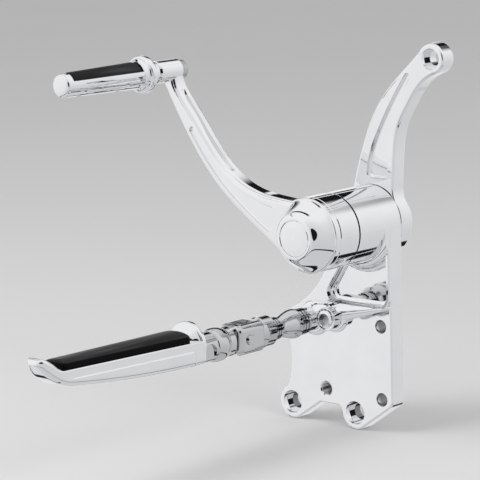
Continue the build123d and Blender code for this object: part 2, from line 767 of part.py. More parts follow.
def shaft_keys():
    """Two square keys that lock the levers to the shaft."""
    keys = []
    for place, length in key_places():
        keys.append(Pos(0, -place, shaft_r + 0.1) * Box(key_width, length, key_height))
    return at_pivot(Compound(children=keys))


def end_washer(out):
    """A plain washer under a shaft screw."""
    return at_pivot(ring(washer_r, end_screw_r + 0.2, out, out + washer_t))


def end_screw(seat, toward):
    """A screw that draws a lever onto an end of the shaft, over the washer on its seat."""
    size = (end_screw_r, end_screw_head_r, end_screw_head_t)
    return at_pivot(socket_screw(*size, seat + toward * washer_t, end_screw_length, toward))


def link_outline():
    """The linkage lever about the pivot, from its hub up to the eye."""
    eye = (link_eye_x, link_eye_z)
    eye_left = (link_eye_x - link_eye_r * 0.89, link_eye_z + link_eye_r * 0.46)
    eye_top = (link_eye_x + link_eye_r * 0.65, link_eye_z + link_eye_r * 0.76)
    eye_low = (link_eye_x + link_eye_r * 0.5, link_eye_z - link_eye_r * 0.87)
    root_left = (-barrel_r * 0.72, barrel_r * 0.36)
    root_right = (barrel_r * 0.68, barrel_r * 0.36)
    run_left = toward_eye(
        eye, (-0.290, 0.248), (-0.167, 0.428), (0.016, 0.632), (0.228, 0.778), (0.471, 0.894)
    )
    run_right = toward_eye(
        eye, (0.781, 0.823), (0.609, 0.710), (0.453, 0.582), (0.393, 0.445), (0.362, 0.263)
    )
    arm = Spline(root_left, *run_left, eye_left) + ThreePointArc(eye_left, eye_top, eye_low)
    arm += Spline(eye_low, *run_right, root_right) + Polyline(root_right, (0, 0), root_left)
    sketch = make_face(arm) + Circle(barrel_r)
    for root in ((-barrel_r * 0.72, barrel_r * 0.7), (barrel_r * 0.7, barrel_r * 0.71)):
        corner = sketch.vertices().sort_by_distance(root)[0]
        sketch = fillet(corner, link_root_round)
    return sketch


def link_pocket():
    """The recess on the linkage lever's outboard face."""
    eye = (link_eye_x, link_eye_z)
    left = toward_eye(
        eye, (-0.076, 0.289), (-0.054, 0.364), (0.114, 0.555), (0.371, 0.761), (0.580, 0.903)
    )
    right = toward_eye(
        eye, (0.652, 0.870), (0.438, 0.704), (0.295, 0.526), (0.270, 0.362), (0.281, 0.289)
    )
    tip = ThreePointArc(left[-1], *toward_eye(eye, (0.652, 0.903)), right[0])
    foot = Spline(right[-1], *toward_eye(eye, (0.232, 0.265), (0.103, 0.261), (-0.031, 0.265)), left[0])
    return make_face(Spline(*left) + tip + Spline(*right) + foot)


def inner_lever():
    """The linkage lever: hub, curved arm and the counterbored eye for the shift rod."""
    start = -(link_gap + link_t)
    end = -link_gap
    body = facing_out(link_outline(), start, end)
    body = fillet(body.faces().sort_by(Axis.Y)[0].edges(), 1.6)
    body = fillet(body.faces().sort_by(Axis.Y)[-1].edges(), 1.6)
    cutter = facing_out(link_pocket(), end - link_pocket_depth, end + 2)
    body -= fillet(cutter.faces().sort_by(Axis.Y)[-1].edges(), 1.6)
    eye = Pos(link_eye_x, 0, link_eye_z)
    body -= eye * rod(link_hole_r, start - 1, end + 1)
    body -= eye * rod(link_counterbore_r, end - link_counterbore_depth, end + 1)
    body -= rod(shaft_r + seat_gap, link_seat_out, end + 1)
    body -= rod(washer_r + 0.2, start - 1, link_seat_out)
    return at_pivot(body - keyway(*key_places()[1]))


def toe_spacer():
    """The turned spacer between the lever's boss and the toe peg's flange."""
    body = ring(toe_spacer_r, toe_bolt_r + 0.15, eye_boss_out, toe_flange_out)
    return at_pivot(Pos(eye_x, 0, eye_z) * body)


def toe_radius(out):
    """Radius of the toe peg's tapering body at an outboard distance."""
    return toe_body_r - toe_taper * (out - toe_body_start)


def toe_screw_places():
    """Outboard distance and seat height of each of the two screws under the toe peg's rubber."""
    outs = [toe_flange_out + share * toe_length for share in toe_screw_shares]
    return [(out, toe_screw_seat - toe_radius(out)) for out in outs]


def toe_pad_space(gap):
    """The box over the toe peg's seat that its rubber lies in, shorter by a gap at each end."""
    start = toe_flange_out + toe_pad_start + gap
    end = toe_end - toe_pad_tip_back - gap
    height = 2 * toe_body_r
    return Pos(0, -(start + end) / 2, toe_pad_seat + height / 2) * Box(2 * height, end - start, height)


def toe_peg_body():
    """The chrome toe peg casting: flange, cove, half-round tray and rounded tip."""
    cove_start = toe_flange_out + toe_flange_t
    cove_r = toe_flange_r - 0.7
    profile = [(0, toe_flange_out), (toe_flange_r - 1.6, toe_flange_out)]
    profile += [(toe_flange_r, toe_flange_out + 1.6), (toe_flange_r, cove_start - 1.0)]
    for i in range(5):
        t = radians(22.5 * i)
        radius = toe_body_r + (cove_r - toe_body_r) * (1 - sin(t))
        profile.append((radius, cove_start + toe_cove * (1 - cos(t))))
    for i in range(7):
        t = radians(15 * i)
        profile.append((toe_tip_r - toe_tip_round * (1 - cos(t)), toe_end - toe_tip_round * (1 - sin(t))))
    profile.append((0, toe_end + 0.8))
    body = turned(*profile)
    body -= toe_pad_space(0)
    for angle in toe_groove_angles:
        for side in (-1, 1):
            x = side * toe_body_r * cos(radians(angle))
            z = toe_body_r * sin(radians(angle))
            body -= Pos(x, 0, z) * rod(toe_groove_r, toe_body_start, toe_end - 10)
    body -= rod(toe_bolt_r + seat_gap, toe_flange_out - 1, toe_flange_out + toe_bolt_reach + 0.4)
    for out, under_head in toe_screw_places():
        body -= Pos(0, -out, 0) * Cylinder(toe_screw_r + 0.2, 4 * toe_body_r)
        body -= Pos(0, -out, under_head - 5) * Cylinder(toe_screw_head_r + 0.2, 10)
    return at_pivot(Pos(eye_x, 0, eye_z) * body)


def toe_peg_rubber():
    """The half-round rubber inlay on top of the toe peg."""
    start = toe_flange_out + toe_pad_start + pad_gap
    end = toe_end - toe_pad_tip_back - pad_gap
    start_r = toe_radius(start) + toe_pad_proud
    end_r = toe_radius(end) + toe_pad_proud
    body = turned((0, start), (start_r, start), (end_r, end), (0, end))
    body = fillet(body.edges().filter_by(GeomType.CIRCLE), 3.0) & toe_pad_space(0)
    for out, _ in toe_screw_places():
        body -= Pos(0, -out, toe_pad_seat) * Cylinder(toe_screw_r + seat_gap, 9)
    return at_pivot(Pos(eye_x, 0, eye_z) * body)


def toe_peg_rubber_screws():
    """Two screws that hold the toe peg's rubber from below."""
    screws = []
    for out, under_head in toe_screw_places():
        screw = slotted_screw(toe_screw_r, toe_screw_head_r, under_head, toe_pad_seat + 4)
        screws.append(Pos(0, -out, 0) * screw)
    return at_pivot(Pos(eye_x, 0, eye_z) * Compound(children=screws))


def toe_peg_bolt():
    """The bolt through the lever's eye that holds the toe peg."""
    under_head = arm_out + arm_thinning - washer_t
    length = toe_flange_out + toe_bolt_reach - under_head
    bolt = socket_screw(toe_bolt_r, toe_bolt_head_r - 0.4, toe_bolt_head_t, under_head, length, -1)
    return at_pivot(Pos(eye_x, 0, eye_z) * bolt)


def toe_peg_washer():
    """The lock washer under the toe peg bolt's head."""
    seat = arm_out + arm_thinning
    body = ring(toe_bolt_head_r, toe_bolt_r + 0.1, seat - washer_t, seat)
    return at_pivot(Pos(eye_x, 0, eye_z) * body)


nodes = {
    "bracket": bracket(),
    "outer_bushing": bushing(False),
    "inner_bushing": bushing(True),
    "blanking_plug": blanking_plug(),
    "footpeg_mount": peg_mount(),
    "footpeg_mount_bolt": mount_bolt(),
    "clevis_pin": clevis_pin(),
    "clevis_pin_clip": pin_clip(),
    "footpeg_stem": footpeg_stem(),
    "footpeg_tray": footpeg_tray(),
    "footpeg_rubber": footpeg_rubber(),
    "footpeg_rubber_screws": footpeg_rubber_screws(),
    "footpeg_stem_screw": stem_screw(),
    "shift_lever": outer_lever(),
    "hub_cap": hub_cap(),
    "hub_screw": end_screw(hub_seat_out, 1),
    "hub_screw_washer": end_washer(hub_seat_out),
    "shift_shaft": shift_shaft(),
    "shaft_keys": shaft_keys(),
    "linkage_lever": inner_lever(),
    "linkage_lever_screw": end_screw(link_seat_out, -1),
    "linkage_lever_washer": end_washer(link_seat_out - washer_t),
    "toe_peg_spacer": toe_spacer(),
    "toe_peg": toe_peg_body(),
    "toe_peg_rubber": toe_peg_rubber(),
    "toe_peg_rubber_screws": toe_peg_rubber_screws(),
    "toe_peg_bolt": toe_peg_bolt(),
    "toe_peg_washer": toe_peg_washer(),
}

for name, shape in nodes.items():
    export_step(shape, f"parts/{name}.step")
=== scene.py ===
from math import cos, pi, radians, sin

import bmesh
import bpy
import numpy as np
from mathutils import Matrix, Vector


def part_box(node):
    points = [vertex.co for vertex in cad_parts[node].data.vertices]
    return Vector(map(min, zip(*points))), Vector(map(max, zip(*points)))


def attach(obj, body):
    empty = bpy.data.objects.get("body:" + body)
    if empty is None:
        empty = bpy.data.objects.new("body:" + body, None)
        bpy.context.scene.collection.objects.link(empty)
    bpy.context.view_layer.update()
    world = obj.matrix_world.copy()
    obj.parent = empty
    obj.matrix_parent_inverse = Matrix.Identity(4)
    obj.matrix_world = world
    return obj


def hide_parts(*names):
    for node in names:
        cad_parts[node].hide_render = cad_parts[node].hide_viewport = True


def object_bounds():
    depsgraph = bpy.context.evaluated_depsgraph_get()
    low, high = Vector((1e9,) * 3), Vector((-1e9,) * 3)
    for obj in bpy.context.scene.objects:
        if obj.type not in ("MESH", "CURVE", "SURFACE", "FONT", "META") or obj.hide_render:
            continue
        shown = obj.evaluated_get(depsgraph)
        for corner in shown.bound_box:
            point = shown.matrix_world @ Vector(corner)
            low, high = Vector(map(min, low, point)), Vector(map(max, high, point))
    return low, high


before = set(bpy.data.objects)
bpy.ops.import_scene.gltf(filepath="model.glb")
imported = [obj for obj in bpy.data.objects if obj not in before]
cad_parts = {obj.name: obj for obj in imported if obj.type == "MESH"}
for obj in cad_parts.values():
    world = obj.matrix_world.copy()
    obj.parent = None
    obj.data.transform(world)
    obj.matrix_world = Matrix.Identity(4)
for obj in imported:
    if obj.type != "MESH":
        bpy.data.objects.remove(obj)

cad_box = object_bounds()
scene = bpy.context.scene

# Mounting bracket: the plate with its lugs, pivot barrel and bosses. It is one casting, ground,
# polished and chrome plated. The plating is mirror bright with a faint haze. Inside the four bolt
# holes the walls are painted dark, darker deeper in, as painted shade.


class Wire:
    """A socket in a finish's node tree. Arithmetic on wires and numbers adds Math nodes."""

    def __init__(self, finish, socket):
        self.finish = finish
        self.socket = socket

    def math(self, operation, first, second=0.0):
        return self.finish.node("ShaderNodeMath", {"operation": operation}, {0: first, 1: second})

    def __add__(self, other):
        return self.math("ADD", self, other)

    def __radd__(self, other):
        return self.math("ADD", other, self)

    def __sub__(self, other):
        return self.math("SUBTRACT", self, other)

    def __rsub__(self, other):
        return self.math("SUBTRACT", other, self)

    def __mul__(self, other):
        return self.math("MULTIPLY", self, other)

    def __rmul__(self, other):
        return self.math("MULTIPLY", other, self)

    def __pow__(self, other):
        return self.math("POWER", self, other)

    def most(self, other):
        return self.math("MAXIMUM", self, other)

    def step(self, low, high):
        """Rises smoothly from 0 at low to 1 at high."""
        limits = {"Value": self, "From Min": low, "From Max": high}
        return self.finish.node("ShaderNodeMapRange", {"interpolation_type": "SMOOTHSTEP"}, limits)


class Finish:
    """One procedural material: a shader with constants on its sockets and wires that vary it."""

    def __init__(self, name, constants):
        self.material = bpy.data.materials.new(name)
        self.material.use_nodes = True
        self.tree = self.material.node_tree
        self.shader = self.tree.nodes["Principled BSDF"]
        for socket, value in constants.items():
            self.shader.inputs[socket].default_value = value
        self.place = self.node("ShaderNodeTexCoord", out="Object")

    def node(self, kind, settings=None, sockets=None, out=0):
        """Adds a node, sets its settings and then its sockets' values or links."""
        made = self.tree.nodes.new(kind)
        for setting, value in (settings or {}).items():
            setattr(made, setting, value)
        for socket, value in (sockets or {}).items():
            if isinstance(value, Wire):
                self.tree.links.new(value.socket, made.inputs[socket])
            else:
                made.inputs[socket].default_value = value
        return Wire(self, made.outputs[out])

    def axis(self, letter):
        """The distance along X, Y or Z in the part's frame, in metres."""
        return self.node("ShaderNodeSeparateXYZ", sockets={0: self.place}, out=letter)

    def noise(self, grain, detail=3.0, stretch=(1.0, 1.0, 1.0)):
        """Noise between 0 and 1 with features about as large as grain, in metres."""
        spot = self.node("ShaderNodeMapping", sockets={"Vector": self.place, "Scale": stretch})
        sockets = {"Vector": spot, "Scale": 1.0 / grain, "Detail": detail}
        return self.node("ShaderNodeTexNoise", sockets=sockets)

    def tint(self, mask, first, second):
        """Goes from the first colour to the second as the mask goes from 0 to 1. Each colour is
        three numbers or a wire."""
        ends = [hue if isinstance(hue, Wire) else (*hue, 1.0) for hue in (first, second)]
        sockets = {0: mask, 6: ends[0], 7: ends[1]}
        return self.node("ShaderNodeMix", {"data_type": "RGBA"}, sockets, out=2)

    def feed(self, socket, wire):
        self.tree.links.new(wire.socket, self.shader.inputs[socket])

    def relief(self, height, depth):
        """Tilts the surface's shading as if height, from 0 to 1, stood depth metres proud."""
        sockets = {"Height": height, "Distance": depth, "Strength": 1.0}
        self.feed("Normal", self.node("ShaderNodeBump", sockets=sockets))


def dress(finish, *names):
    """Gives the finish to CAD nodes."""
    for name in names:
        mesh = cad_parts[name].data
        mesh.materials.clear()
        mesh.materials.append(finish.material)


def chrome(name, wave, haze=0.02, painted_shade_tone=1.0, blur=0.035):
    """Bright plating. Polishing left waves of this height in metres. Haze is the roughness that
    cloudy patches add to blur, the roughness elsewhere, and a tone below 1 darkens the metal's
    colour as painted shade."""
    plating = Finish(name, {"Metallic": 1.0})
    cloud = plating.noise(grain=0.018, detail=2.0)
    fine = plating.noise(grain=0.0012)
    deep = (0.80 * painted_shade_tone, 0.81 * painted_shade_tone, 0.83 * painted_shade_tone)
    light = (0.88 * painted_shade_tone, 0.885 * painted_shade_tone, 0.89 * painted_shade_tone)
    plating.colour = plating.tint(cloud, deep, light)
    plating.feed("Base Color", plating.colour)
    plating.feed("Roughness", blur + haze * cloud.step(0.45, 0.75) + 0.015 * fine)
    plating.relief(plating.noise(grain=0.009, detail=1.5), wave)
    return plating


rear_hole_r, lug_hole_r = 0.00415, 0.00495
# Painted shade: the walls of the four bolt holes are painted dark, from just past each hole's
# radius inwards, and more so deeper in along Y.
hole_shade_near, hole_shade_far = 0.0001, 0.0003
hole_shade_deep, hole_shade_mouth = -0.0068, -0.0112
bracket_chrome = chrome("bracket_chrome", wave=0.000002)
east, north = bracket_chrome.axis("X"), bracket_chrome.axis("Z")
hole_shade_mask = 0.0
for hole_x, hole_z, hole_r in (
    (0.0454, 0.0110, rear_hole_r),
    (0.0454, 0.0556, rear_hole_r),
    (-0.0246, 0.0, lug_hole_r),
    (0.0246, 0.0, lug_hole_r),
):
    gap = (east - hole_x) ** 2.0 + (north - hole_z) ** 2.0
    hole_shade_mask = hole_shade_mask + (1.0 - gap.step((hole_r + hole_shade_near) ** 2, (hole_r + hole_shade_far) ** 2))
hole_shade_mask = hole_shade_mask * bracket_chrome.axis("Y").step(hole_shade_mouth, hole_shade_deep)
with_hole_shade = bracket_chrome.tint(hole_shade_mask, bracket_chrome.colour, (0.22, 0.22, 0.23))
bracket_chrome.feed("Base Color", with_hole_shade)
dress(bracket_chrome, "bracket")

# Thread in the accessory hole: cut with a tap after casting, so its ridges run right through the
# plate. The plating is thin inside, and the thread looks darker and duller than the face.
point = 1e-6  # points closer together than this, in metres, become one


def grid_mesh(name, points, sharp=32.0):
    """Turns an array of points, stations by points across by 3, into a smooth mesh object. Each
    station is a closed loop, and each square between two stations becomes a face."""
    stations, across = points.shape[:2]
    here = np.arange(stations * across).reshape(stations, across)
    beside = np.roll(here, -1, axis=1)
    quads = np.stack([here[:-1], beside[:-1], beside[1:], here[1:]], axis=-1).reshape(-1, 4)
    mesh = bpy.data.meshes.new(name)
    mesh.from_pydata(points.reshape(-1, 3).tolist(), [], quads.tolist())
    shape = bmesh.new()
    shape.from_mesh(mesh)
    bmesh.ops.remove_doubles(shape, verts=shape.verts, dist=point)
    bmesh.ops.recalc_face_normals(shape, faces=shape.faces)
    shape.to_mesh(mesh)
    shape.free()
    mesh.polygons.foreach_set("use_smooth", [True] * len(mesh.polygons))
    mesh.set_sharp_from_angle(angle=radians(sharp))
    piece = bpy.data.objects.new(name, mesh)
    scene.collection.objects.link(piece)
    return piece


def full_turn(steps):
    """Angles once round, from 0 to just before a full turn."""
    return np.linspace(0.0, 2.0 * pi, steps, endpoint=False)


def circles(centre, radius, out, angle):
    """Circles about an axis along Y, a station for each row of radius and out:
    x = centre x + radius cos a, y = -out and z = centre z + radius sin a."""
    x = centre[0] + radius * np.cos(angle)
    z = centre[1] + radius * np.sin(angle)
    y = -out + 0.0 * x
    return np.stack(np.broadcast_arrays(x, y, z), axis=-1)


def finish_piece(piece, finish, body):
    """Gives a new piece its finish, the body it moves with and the record's material slot."""
    piece.data.materials.append(finish.material)
    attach(piece, body)


# The ridge is a triangle wave of depth over pitch, less the share of a turn, so it winds inwards.
thread_axis = (0.0026, 0.0122)
thread_r, thread_pitch, thread_height = 0.00405, 0.00125, 0.0007
thread_wall, thread_start, thread_end = 0.0006, 0.0003, 0.0104
turn = full_turn(48)
depth = np.linspace(thread_start, thread_end, 132)[:, None]
spiral = depth / thread_pitch - turn / (2.0 * pi)
ridge = np.abs(2.0 * (spiral - np.floor(spiral)) - 1.0)
wall = circles(thread_axis, thread_r - thread_height * ridge, depth, turn)
back = circles(thread_axis, thread_r + thread_wall, depth, turn)
thread = grid_mesh("accessory_thread", np.concatenate([wall, back[::-1], wall[:1]]), sharp=20.0)
tapped = Finish("tapped_wall", {"Metallic": 1.0})
stain = tapped.noise(grain=0.001)
tapped.feed("Base Color", tapped.tint(stain, (0.34, 0.34, 0.35), (0.52, 0.52, 0.53)))
tapped.feed("Roughness", 0.22 + 0.15 * tapped.noise(grain=0.0006))
finish_piece(thread, tapped, "mounting_bracket")

# Flanged bushings: sintered bronze, pressed into the barrel from both ends. The bronze is porous
# and oily, so it is darker in its pores.
bronze = Finish("sintered_bronze", {"Metallic": 1.0})
pores = bronze.noise(grain=0.0005, detail=4.0)
dark_bronze, bright_bronze = (0.30, 0.20, 0.10), (0.62, 0.45, 0.24)
bronze.feed("Base Color", bronze.tint(pores.step(0.4, 0.62), dark_bronze, bright_bronze))
bronze.feed("Roughness", 0.34 + 0.2 * pores)
bronze.relief(pores, depth=0.00002)
dress(bronze, "outer_bushing", "inner_bushing")

# Blanking plug, turned footpeg mount and clevis pin: turned and milled from bar, then plated. The
# plug's dome is satin, the rest is bright. The mount and pin are painted darker than the other
# plating, as painted shade. The bell is a smooth ogee, so a thin turned skin lies over its solid.
# The low value here paints this plating darker than the rest, as painted shade.
turned_chrome_painted_dark = chrome("turned_chrome_painted_dark", wave=0.000002, haze=0.01, painted_shade_tone=0.72, blur=0.055)
dress(turned_chrome_painted_dark, "footpeg_mount", "clevis_pin")
dress(chrome("plug_chrome", wave=0.000002, haze=0.01, blur=0.2), "blanking_plug")


def eased(value):
    """0 below 0, 1 above 1 and a smooth rise between."""
    value = np.clip(value, 0.0, 1.0)
    return value * value * (3.0 - 2.0 * value)


def to_bore(radius, out, bore_r):
    """Carries both ends of a turned profile straight in to the bore's radius."""
    bore = [bore_r]
    return np.concatenate([bore, radius, bore]), np.concatenate([out[:1], out, out[-1:]])


def spun(name, centre, radius, out, steps=96):
    """A ring turned about an axis along Y: every point of the closed profile, a radius and a
    distance out, becomes a circle."""
    radius = np.append(radius, radius[0])[:, None]
    out = np.append(out, out[0])[:, None]
    return grid_mesh(name, circles(centre, radius, out, full_turn(steps)))


peg_axis = (-0.005, 0.0554)
skin = 0.00006  # how far a turned skin stands proud of its solid
bell_r, waist_r, bell_bore_r = 0.009, 0.0058, 0.004
bell_start, bell_length, bell_spare = 0.0321, 0.017, 0.0006
along = np.linspace(0.0, 1.0, 40)
bell_curve = bell_r + skin + (waist_r - bell_r) * eased(along)
bell_out = bell_start + bell_spare + (bell_length - 2.0 * bell_spare) * along
bell = spun("footpeg_mount_bell", peg_axis, *to_bore(bell_curve, bell_out, bell_bore_r))
finish_piece(bell, turned_chrome_painted_dark, "mounting_bracket")

# Screws, washers and the pin's clip: bought parts of zinc plated steel. The zinc is dull and
# slightly mottled. They hold the levers, the pegs and both rubbers in place.
zinc = Finish("zinc_plate", {"Metallic": 1.0})
mottle = zinc.noise(grain=0.002, detail=4.0)
zinc.feed("Base Color", zinc.tint(mottle, (0.42, 0.43, 0.45), (0.62, 0.63, 0.64)))
zinc.feed("Roughness", 0.22 + 0.2 * mottle)
zinc.relief(zinc.noise(grain=0.0004, detail=2.0), depth=0.00001)
dress(
    zinc, "footpeg_mount_bolt", "clevis_pin_clip", "footpeg_rubber_screws", "footpeg_stem_screw",
    "hub_screw", "hub_screw_washer", "linkage_lever_screw", "linkage_lever_washer",
    "toe_peg_rubber_screws", "toe_peg_bolt", "toe_peg_washer",
)

# Footpeg stem: turned from bar, milled flat for its tongue and plated, and hung on the clevis pin.
# Its plating is painted darker, as on the mount, as painted shade. The band's crown is a shallow
# arc, here a parabola, so it has a turned skin of its own.
dress(turned_chrome_painted_dark, "footpeg_stem")
band_r, band_fall, band_bore_r = 0.0102, 0.0009, 0.008
band_start, band_length = 0.0976, 0.0105
across_band = np.linspace(-1.0, 1.0, 31)
band_curve = band_r + skin - band_fall * across_band**2
band_out = band_start + band_length * (across_band + 1.0) / 2.0
band = spun("footpeg_stem_band", peg_axis, *to_bore(band_curve, band_out, band_bore_r))
finish_piece(band, turned_chrome_painted_dark, "footpeg")

# Footpeg tray: a chromed casting like a narrow boat, screwed to the stem. A round hoop closes the
# stem's end and leans over the rubber, the keel sweeps up into a spoon-shaped tip, and a raised
# panel with a rounded corner runs along each side below the rim.
tray_low, tray_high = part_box("footpeg_tray")
tray_start = -tray_high[1]
tray_length = tray_high[1] - tray_low[1]

# A share is a distance along the tray over its length, and heights are from the footpeg's axis.
rim_rise, rim_climb, climb_share = 0.0080, 0.0028, 0.87
lip_rise, lip_share, lip_run = 0.0078, 0.868, 0.11
keel_fall, keel_bow, keel_sweep, sweep_share = 0.0060, 0.0101, 0.0117, 0.78
full_half, tip_half, tip_share, tip_power = 0.0132, 0.0096, 0.86, 2.4
close_share, end_round, near_share = 0.976, 0.001, 0.125
bilge, rim_round, lip_round, lip_round_run = 0.0034, 0.0007, 0.0021, 0.05
bed, wall_t = 0.0060, 0.0021
recess_start, recess_end = 0.0078, 0.0145
recess_near_round, recess_far_round = 0.004, 0.005
panel_drop, panel_start, panel_round, panel_proud = 0.0052, 0.009, 0.003, 0.0004
panel_edge, panel_foot, panel_fade_share, panel_fade_run = 0.0005, 0.004, 0.78, 0.1
hoop_r, hoop_rise, hoop_t = 0.0134, 0.0045, 0.0032
hoop_back_round, hoop_front_round = 0.0005, 0.0012
cone_in, cone_out, cone_power = 0.0055, 0.0042, 1.15


def within(value):
    """The value, held between 0 and 1."""
    return np.clip(value, 0.0, 1.0)


def rim_height(share):
    """An even rise along the tray, then a smooth sweep up to the tip's lip."""
    slope = rim_climb * share / climb_share
    return rim_rise + slope + lip_rise * eased((share - lip_share) / lip_run)


def tray_hull():
    """Sections along the tray. The keel is a parabola plus a cubic sweep at the tip, the rim is a
    slope plus a lip, and the width tapers evenly and then follows a superellipse round the tip."""
    near = np.linspace(0.0, near_share, 46)
    far = near_share + (1.0 - near_share) * np.sin(np.linspace(0.0, pi / 2.0, 110))[1:]
    share = np.concatenate([near, far])[:, None]
    out = share * tray_length

    # Half width, keel and rim along the tray, drawn in round the tip and at the stem's end.
    tip = within((share - tip_share) / (1.0 - tip_share))
    half = full_half + (tip_half - full_half) * np.minimum(share, tip_share) / tip_share
    half = half * (1.0 - tip**tip_power) ** (1.0 / tip_power) + point
    sweep = within((share - sweep_share) / (1.0 - sweep_share))
    keel = -keel_fall + keel_bow * share**2 + keel_sweep * sweep**3
    closing = np.sqrt(1.0 - within((share - close_share) / (1.0 - close_share)) ** 2)
    rim = keel + (rim_height(share) - keel) * closing
    edge = end_round * (1.0 - np.sqrt(1.0 - (1.0 - within(out / end_round)) ** 2))
    half, keel, rim = half - edge, keel + edge, rim - edge
    height = rim - keel

    # The bilge: a flat keel and a quarter circle up to the wall.
    quarter = np.linspace(0.0, pi / 2.0, 9)
    flat = np.linspace(0.0, 1.0, 7)[:-1]
    round_low = np.minimum(bilge, np.minimum(half, height / 2.0))
    keel_x, keel_z = (half - round_low) * flat, keel + 0.0 * flat
    low_x = half - round_low * (1.0 - np.sin(quarter))
    low_z = keel + round_low * (1.0 - np.cos(quarter))

    # The wall, up to the rim's quarter circle. Inside the panel's rounded outline it stands proud.
    round_top = rim_round + lip_round * eased((share - climb_share) / lip_round_run)
    round_top = np.minimum(round_top, np.minimum(half / 2.0, height / 3.0))
    climb = np.linspace(0.0, 1.0, 30)[1:]
    wall_z = keel + round_low + (height - round_low - round_top) * climb
    in_along = out - panel_start + 0.0 * wall_z
    in_down = rim - panel_drop - wall_z
    from_along = np.minimum(in_along - panel_round, 0.0)
    from_down = np.minimum(in_down - panel_round, 0.0)
    in_corner = panel_round - np.hypot(from_along, from_down)
    at_corner = (in_along < panel_round) & (in_down < panel_round)
    inside = np.where(at_corner, in_corner, np.minimum(in_along, in_down))
    proud = panel_proud * (1.0 - eased((share - panel_fade_share) / panel_fade_run))
    step = eased(inside / panel_edge + 0.5)
    wall_x = half + proud * step * eased((wall_z - keel) / panel_foot)
    low_step = eased(in_along[:, :1] / panel_edge + 0.5)
    low_x = low_x + proud * low_step * eased((low_z - keel) / panel_foot)
    top_x = half - round_top * (1.0 - np.cos(quarter))
    top_z = rim - round_top * (1.0 - np.sin(quarter))

    # The recess for the rubber, down to its bed, with elliptical ends.
    near_end = within((out - recess_start) / recess_near_round)
    far_end = within((tray_length - recess_end - out) / recess_far_round)
    ends = near_end * far_end
    inner = np.clip((half - wall_t) * np.sqrt(1.0 - (1.0 - ends) ** 2), 0.0, None)
    floor_z = np.where(ends > 0.0, bed, rim)
    drop = np.linspace(0.0, 1.0, 5)
    lip_x, lip_z = inner + 0.0 * drop, rim + (floor_z - rim) * drop
    bed_x, bed_z = inner * (1.0 - flat), floor_z + 0.0 * flat

    # One side from keel to bed, its mirror image, and a cap over the stem's end.
    x = np.concatenate([keel_x, low_x, wall_x, top_x, lip_x, bed_x[:, 1:], 0.0 * half], axis=1)
    z = np.concatenate([keel_z, low_z, wall_z, top_z, lip_z, bed_z[:, 1:], floor_z], axis=1)
    x = np.concatenate([x, -x[:, -2:0:-1]], axis=1)
    z = np.concatenate([z, z[:, -2:0:-1]], axis=1)
    y = -(tray_start + out) + 0.0 * x
    section = np.stack([peg_axis[0] + x, y, peg_axis[1] + z], axis=-1)
    cap = np.broadcast_to(section[:1].mean(axis=1, keepdims=True), section[:1].shape)
    return np.concatenate([cap, section])


def near_edge(radius, out, inward, outward, steps=9):
    """A disc's near edge, a quarter ellipse: radius - inward (1 - sin a) and
    out + outward (1 - cos a)."""
    angle = np.linspace(0.0, pi / 2.0, steps)
    return radius - inward * (1.0 - np.sin(angle)), out + outward * (1.0 - np.cos(angle))


def far_edge(radius, out, inward, backward, steps=9):
    """A disc's far edge, a quarter ellipse: radius - inward (1 - cos a) and
    out - backward (1 - sin a)."""
    angle = np.linspace(0.0, pi / 2.0, steps)
    return radius - inward * (1.0 - np.cos(angle)), out - backward * (1.0 - np.sin(angle))


def tray_hoop():
    """A disc with rounded edges whose front is a shallow cone: it goes out by a power of the way
    in, up to the rubber's end. Each profile point becomes a circle."""
    back_r, back_out = near_edge(hoop_r, 0.0, hoop_back_round, hoop_back_round, steps=10)
    front_r, front_out = far_edge(hoop_r, hoop_t, hoop_front_round, hoop_front_round, steps=10)
    inward = np.linspace(0.0, 1.0, 24)[1:]
    face_r = front_r[-1] - cone_in * inward
    face_out = front_out[-1] + cone_out * inward**cone_power
    radius = np.concatenate([back_r, front_r, face_r])
    out = tray_start + np.concatenate([back_out, front_out, face_out])
    radius, out = to_bore(radius, out, point)
    centre = (peg_axis[0], peg_axis[1] + hoop_rise)
    return circles(centre, radius[:, None], out[:, None], full_turn(96))


peg_chrome = chrome("peg_chrome", wave=0.000004)
tray = grid_mesh("tray_hull", tray_hull(), sharp=38.0)
hoop = grid_mesh("tray_hoop", tray_hoop(), sharp=38.0)
for piece in (tray, hoop):
    finish_piece(piece, peg_chrome, "footpeg")
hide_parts("footpeg_tray")

# Footpeg rubber: one moulded pad with upright black sides and a crowned top, held by two screws
# from below. It is smooth and satin. Its top is painted lighter than its black sides, partly as a
# painted sheen and partly as faint streaks that shoes have drawn along it.
pad_start = 0.0080
pad_end = tray_length - recess_end - 0.0004
pad_half, pad_taper = 0.0110, 0.0028
pad_stand, stand_fall = 0.0040, 0.0004
crown_rise, crown_fall = 0.0019, 0.0009
shoulder_round = 0.0018
pad_base = bed + 0.00005
end_run, foot_run, end_power = 0.0050, 0.0022, 2.6
pad_swell = 2.0 / 5.0
sheen_and_streak_rise, sheen_and_streak_fade = 0.0038, 0.0005


